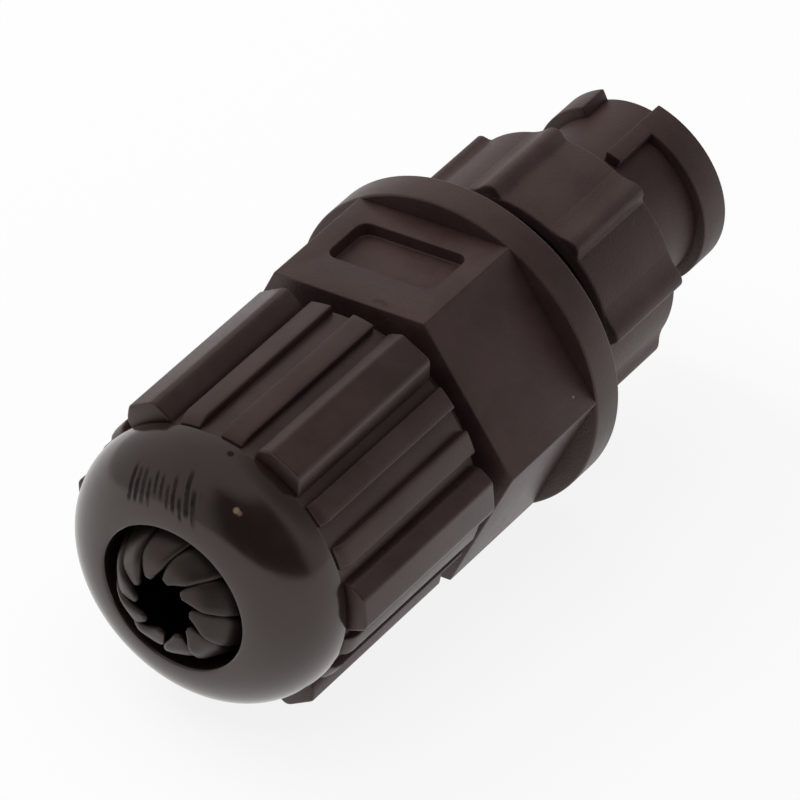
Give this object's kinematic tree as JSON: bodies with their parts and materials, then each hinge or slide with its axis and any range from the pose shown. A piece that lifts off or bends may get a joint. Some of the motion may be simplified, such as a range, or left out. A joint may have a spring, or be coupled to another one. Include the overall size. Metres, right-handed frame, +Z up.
{
  "type": "circular panel connector",
  "caption": "Black plastic circular panel connector with a cable gland, hexagonal body, round flange, ribbed panel nut and bayonet socket.",
  "frame": {"origin": "on the connector's axis, in the flange face that seats against the panel", "axes": "+Y along the axis towards the mating end, +Z up through the flat with the bare pocket, +X to the right seen from the cable end"},
  "size_m": [0.03, 0.0685, 0.03],
  "materials": {
    "housing_plastic": "fine matte, black-brown",
    "nut_plastic": "polished dome, fine matte skirt",
    "basket_plastic": "satin, black-brown",
    "ring_plastic": "grainy matte",
    "shell_plastic": "fine matte",
    "insert_plastic": "matte",
    "seal_rubber": "matte",
    "contact_metal": "gold-plated, turned"
  },
  "bodies": {
    "housing": {"housing": "housing_plastic", "sealing_grommet": "seal_rubber", "gland_seal_ring": "seal_rubber", "panel_gasket": "seal_rubber", "bayonet_shell": "shell_plastic", "shell_seal_ring": "seal_rubber", "contact_insert": "insert_plastic", "contact_retainer": "insert_plastic", "retaining_ring": "basket_plastic", "interface_seal": "seal_rubber", "contact_1": "contact_metal", "contact_2": "contact_metal", "contact_3": "contact_metal", "contact_4": "contact_metal", "contact_5": "contact_metal", "contact_6": "contact_metal", "earth_contact": "contact_metal"},
    "clamping_basket": {"clamping_basket": "basket_plastic"},
    "gland_nut": {"gland_nut": "nut_plastic"},
    "panel_nut": {"panel_nut": "ring_plastic"}
  },
  "joints": [
    {"name": "clamp_slide", "type": "slide", "parent": "housing", "child": "clamping_basket", "axis": [0, 1, 0], "range_m": [-0.00605, 0]},
    {"name": "gland_nut_turn", "type": "hinge", "parent": "clamping_basket", "child": "gland_nut", "pos_m": [0, 0, 0], "axis": [0, 1, 0], "range_deg": [-1440, 0]},
    {"name": "panel_nut_turn", "type": "hinge", "parent": "housing", "child": "panel_nut", "pos_m": [0, 0, 0], "axis": [0, 1, 0], "range_deg": [-864, 1440]}
  ],
  "couplings": [
    {"joint": "clamp_slide", "follows": "gland_nut_turn", "m_per_rad": 0.00023873}
  ]
}
